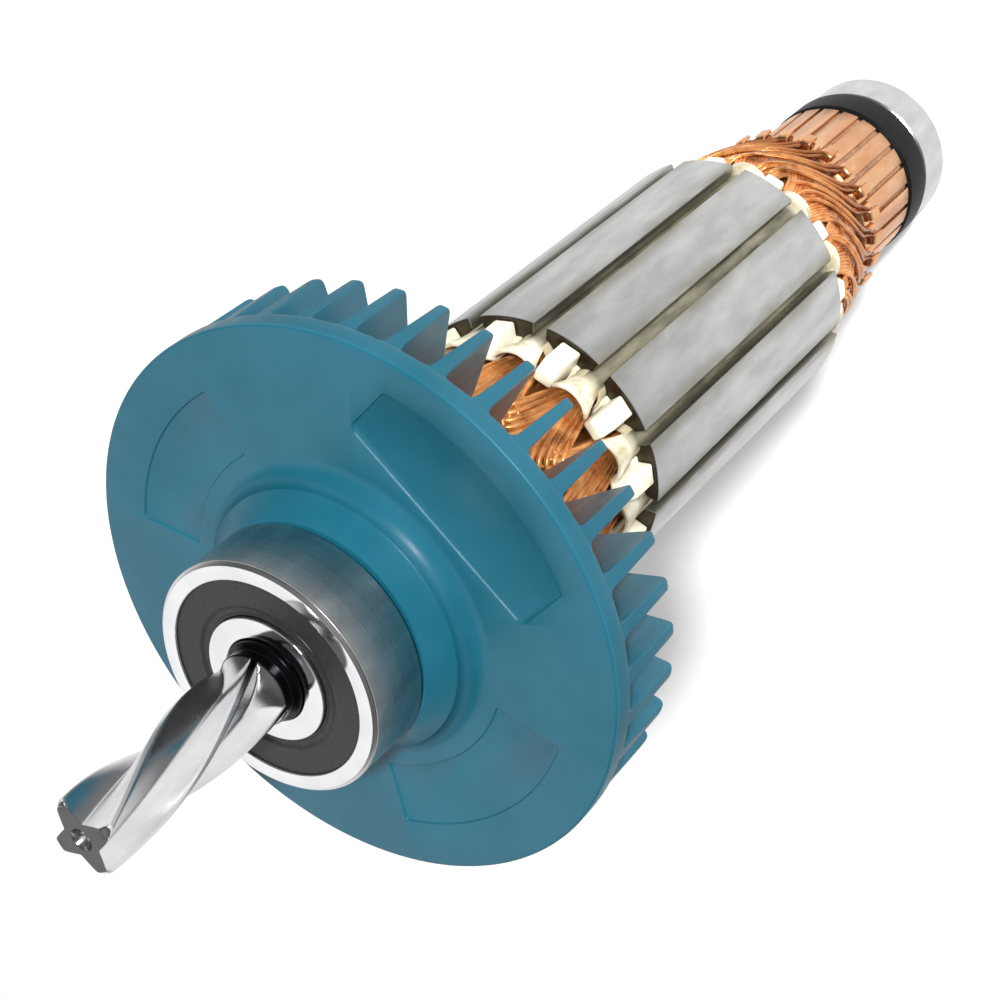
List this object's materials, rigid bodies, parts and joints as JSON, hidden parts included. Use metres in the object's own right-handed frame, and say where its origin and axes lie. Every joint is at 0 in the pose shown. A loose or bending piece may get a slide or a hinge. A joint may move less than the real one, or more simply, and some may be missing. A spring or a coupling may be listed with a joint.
{
  "type": "motor armature",
  "caption": "Universal motor armature with helical pinion shaft, radial cooling fan, wound laminated core, commutator and sealed ball bearings at both ends.",
  "frame": {"origin": "centre of the rear bearing's lowest face, on which the armature stands", "axes": "+Z along the shaft, from the rear bearing to the pinion; +X and +Y are across the shaft"},
  "size_m": [0.063, 0.063, 0.1688],
  "materials": {
    "shaft_steel": "polished",
    "bearing_steel": "ground",
    "cage_steel": "satin",
    "core_steel": "ground",
    "seal_rubber": "matt",
    "fan_plastic": "satin moulded",
    "insulator_plastic": "matt",
    "wedge_fibre": "varnished",
    "liner_paper": "varnished",
    "winding_copper": "varnished",
    "bar_copper": "turned",
    "mica": "matt",
    "hub_resin": "matt",
    "black_plastic": "satin",
    "resin_sleeve": "matt"
  },
  "bodies": {
    "armature": {"shaft": "shaft_steel", "insulating_sleeve": "resin_sleeve", "fan": "fan_plastic", "lamination_stack": "core_steel", "slot_liners": "liner_paper", "slot_wedges": "wedge_fibre", "slot_coil_sides": "winding_copper", "front_end_insulator": "insulator_plastic", "rear_end_insulator": "insulator_plastic", "front_end_winding": "winding_copper", "rear_end_winding": "winding_copper", "commutator_bars": "bar_copper", "commutator_mica": "mica", "commutator_hub": "hub_resin", "dust_ring": "black_plastic", "front_bearing_inner_ring": "bearing_steel", "rear_bearing_inner_ring": "bearing_steel"},
    "front_outer_race": {"front_bearing_outer_ring": "bearing_steel", "front_bearing_front_seal": "seal_rubber", "front_bearing_rear_seal": "seal_rubber"},
    "front_ball_set": {"front_bearing_balls": "bearing_steel", "front_bearing_cage": "cage_steel"},
    "rear_outer_race": {"rear_bearing_outer_ring": "bearing_steel", "rear_bearing_front_seal": "seal_rubber", "rear_bearing_rear_seal": "seal_rubber"},
    "rear_ball_set": {"rear_bearing_balls": "bearing_steel", "rear_bearing_cage": "cage_steel"}
  },
  "joints": [
    {"name": "front_bearing_spin", "type": "hinge", "parent": "armature", "child": "front_outer_race", "pos_m": [0, 0, 0.1388], "axis": [0, 0, 1], "continuous": true},
    {"name": "front_cage_spin", "type": "hinge", "parent": "armature", "child": "front_ball_set", "pos_m": [0, 0, 0.1388], "axis": [0, 0, 1], "continuous": true},
    {"name": "rear_bearing_spin", "type": "hinge", "parent": "armature", "child": "rear_outer_race", "pos_m": [0, 0, 0.0035], "axis": [0, 0, 1], "continuous": true},
    {"name": "rear_cage_spin", "type": "hinge", "parent": "armature", "child": "rear_ball_set", "pos_m": [0, 0, 0.0035], "axis": [0, 0, 1], "continuous": true}
  ],
  "couplings": [
    {"joint": "front_cage_spin", "follows": "front_bearing_spin", "ratio": 0.63606},
    {"joint": "rear_cage_spin", "follows": "rear_bearing_spin", "ratio": 0.63227}
  ]
}
